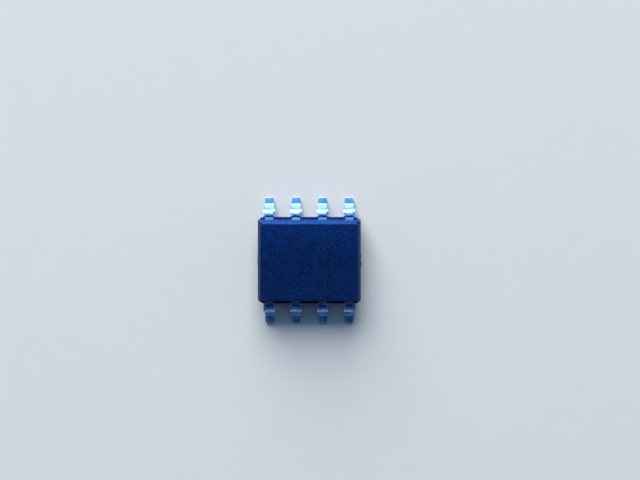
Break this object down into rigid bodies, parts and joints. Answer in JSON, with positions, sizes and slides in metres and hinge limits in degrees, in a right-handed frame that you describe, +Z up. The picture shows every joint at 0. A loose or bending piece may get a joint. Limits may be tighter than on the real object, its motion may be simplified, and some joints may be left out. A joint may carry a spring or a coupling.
{
  "type": "soic chip",
  "caption": "Small-outline integrated circuit: a drafted dark resin block with one bevelled long edge, on gull-wing leads along both long sides.",
  "frame": {"origin": "centre of the chip's outline, on the seating plane under its feet", "axes": "+Z up from the board through the top face; +X along the moulding's long side; +Y across the two rows of leads, towards the bevelled top edge"},
  "size_m": [0.005, 0.006, 0.0016],
  "materials": {
    "mould_compound": "matte, spark-eroded grain",
    "tinned_lead": "matt tin plating over copper",
    "copper": "satin copper alloy",
    "die_adhesive": "silver-filled resin",
    "silicon": "polished, passivated",
    "gold_wire": "bright gold"
  },
  "bodies": {
    "root": {"package_body": "mould_compound", "die_paddle": "copper", "die_attach": "die_adhesive", "silicon_die": "silicon", "lead_1": "tinned_lead", "lead_2": "tinned_lead", "lead_3": "tinned_lead", "lead_4": "tinned_lead", "lead_5": "tinned_lead", "lead_6": "tinned_lead", "lead_7": "tinned_lead", "lead_8": "tinned_lead", "bond_wire_1": "gold_wire", "bond_wire_2": "gold_wire", "bond_wire_3": "gold_wire", "bond_wire_4": "gold_wire", "bond_wire_5": "gold_wire", "bond_wire_6": "gold_wire", "bond_wire_7": "gold_wire", "bond_wire_8": "gold_wire"}
  },
  "joints": []
}
